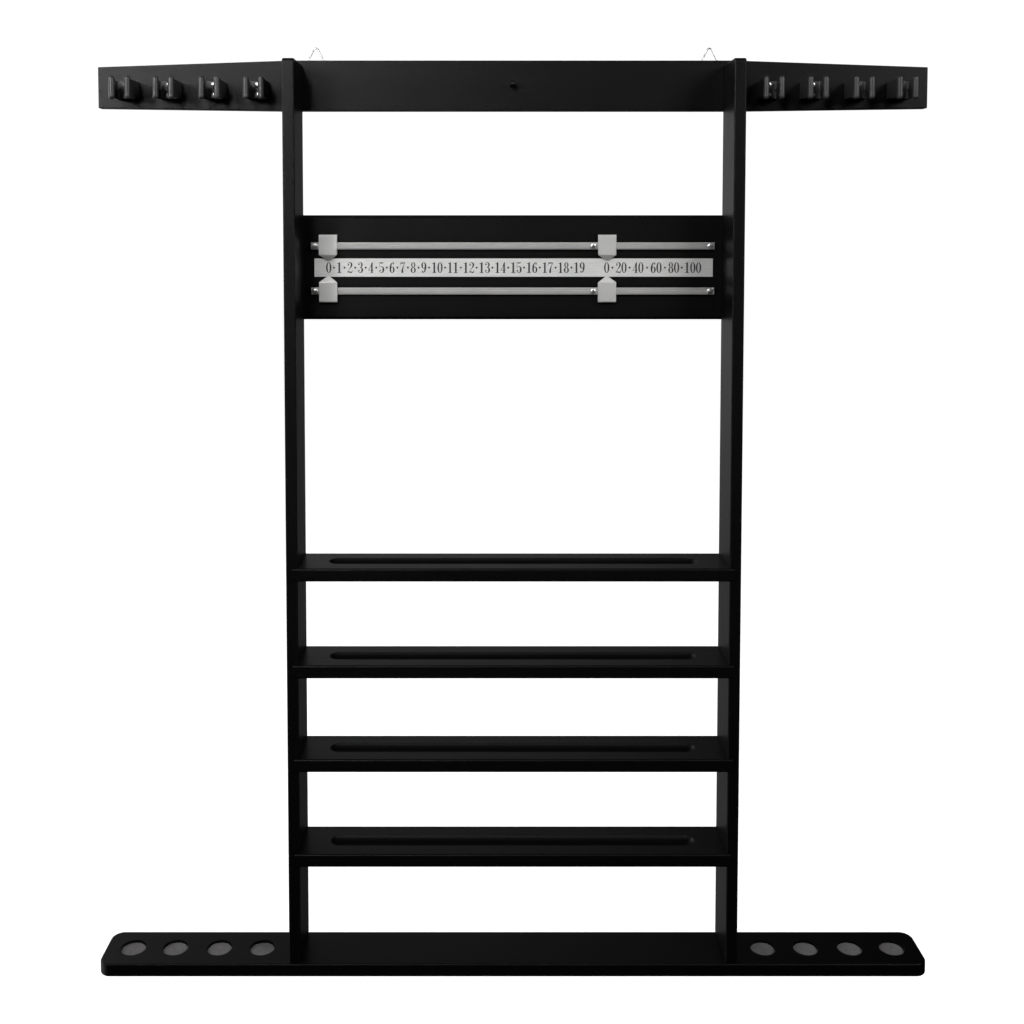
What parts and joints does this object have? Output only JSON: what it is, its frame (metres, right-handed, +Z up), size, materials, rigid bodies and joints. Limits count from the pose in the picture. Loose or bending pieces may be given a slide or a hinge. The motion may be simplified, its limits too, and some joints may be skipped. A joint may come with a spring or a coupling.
{
  "type": "wall cue rack",
  "caption": "Wall-hung rack that keeps cues upright between spring clips and a felted base board, with grooved ball shelves and a score panel with sliding pointers.",
  "frame": {"origin": "centre of the top board's back face, which lies on the wall", "axes": "+Z up, +Y into the wall, +X to the right of a person who faces the rack; the front of the rack faces -Y"},
  "size_m": [1.152, 0.0935, 1.2809],
  "materials": {
    "black_lacquer": "satin black lacquer over fine-grained board",
    "clip_plastic": "moulded, satin",
    "felt": "pressed wool felt",
    "aluminium": "satin, drawn or rolled",
    "plated_steel": "bright zinc or nickel plate"
  },
  "bodies": {
    "rack": {"top_board": "black_lacquer", "score_panel": "black_lacquer", "left_post": "black_lacquer", "right_post": "black_lacquer", "ball_shelf_1": "black_lacquer", "ball_shelf_2": "black_lacquer", "ball_shelf_3": "black_lacquer", "ball_shelf_4": "black_lacquer", "base_board": "black_lacquer", "triangle_peg": "black_lacquer", "butt_felt_1": "felt", "butt_felt_2": "felt", "butt_felt_3": "felt", "butt_felt_4": "felt", "butt_felt_5": "felt", "butt_felt_6": "felt", "butt_felt_7": "felt", "butt_felt_8": "felt", "cue_clip_1": "clip_plastic", "cue_clip_2": "clip_plastic", "cue_clip_3": "clip_plastic", "cue_clip_4": "clip_plastic", "cue_clip_5": "clip_plastic", "cue_clip_6": "clip_plastic", "cue_clip_7": "clip_plastic", "cue_clip_8": "clip_plastic", "clip_screw_1_lower": "plated_steel", "clip_screw_1_upper": "plated_steel", "clip_screw_2_lower": "plated_steel", "clip_screw_2_upper": "plated_steel", "clip_screw_3_lower": "plated_steel", "clip_screw_3_upper": "plated_steel", "clip_screw_4_lower": "plated_steel", "clip_screw_4_upper": "plated_steel", "clip_screw_5_lower": "plated_steel", "clip_screw_5_upper": "plated_steel", "clip_screw_6_lower": "plated_steel", "clip_screw_6_upper": "plated_steel", "clip_screw_7_lower": "plated_steel", "clip_screw_7_upper": "plated_steel", "clip_screw_8_lower": "plated_steel", "clip_screw_8_upper": "plated_steel", "rail_screw_upper_left": "plated_steel", "rail_screw_upper_middle": "plated_steel", "rail_screw_upper_right": "plated_steel", "rail_screw_lower_left": "plated_steel", "rail_screw_lower_middle": "plated_steel", "rail_screw_lower_right": "plated_steel", "number_strip": "aluminium", "rail_upper": "aluminium", "rail_lower": "aluminium", "hanger_strap_left": "plated_steel", "hanger_strap_right": "plated_steel"},
    "slider_upper_left": {"slider_upper_left": "aluminium"},
    "slider_upper_right": {"slider_upper_right": "aluminium"},
    "slider_lower_left": {"slider_lower_left": "aluminium"},
    "slider_lower_right": {"slider_lower_right": "aluminium"},
    "hanger_ring_left": {"hanger_ring_left": "plated_steel"},
    "hanger_ring_right": {"hanger_ring_right": "plated_steel"}
  },
  "joints": [
    {"name": "slider_upper_left_slide", "type": "slide", "parent": "rack", "child": "slider_upper_left", "axis": [1, 0, 0], "range_m": [-0.0007, 0.352]},
    {"name": "slider_upper_right_slide", "type": "slide", "parent": "rack", "child": "slider_upper_right", "axis": [1, 0, 0], "range_m": [-0.0022, 0.1262]},
    {"name": "slider_lower_left_slide", "type": "slide", "parent": "rack", "child": "slider_lower_left", "axis": [1, 0, 0], "range_m": [-0.0007, 0.352]},
    {"name": "slider_lower_right_slide", "type": "slide", "parent": "rack", "child": "slider_lower_right", "axis": [1, 0, 0], "range_m": [-0.0022, 0.1262]},
    {"name": "hanger_ring_left_swing", "type": "hinge", "parent": "rack", "child": "hanger_ring_left", "pos_m": [-0.275, -0.0026, 0.0293], "axis": [-1, 0, 0], "range_deg": [0, 150]},
    {"name": "hanger_ring_right_swing", "type": "hinge", "parent": "rack", "child": "hanger_ring_right", "pos_m": [0.275, -0.0026, 0.0293], "axis": [-1, 0, 0], "range_deg": [0, 150]}
  ]
}
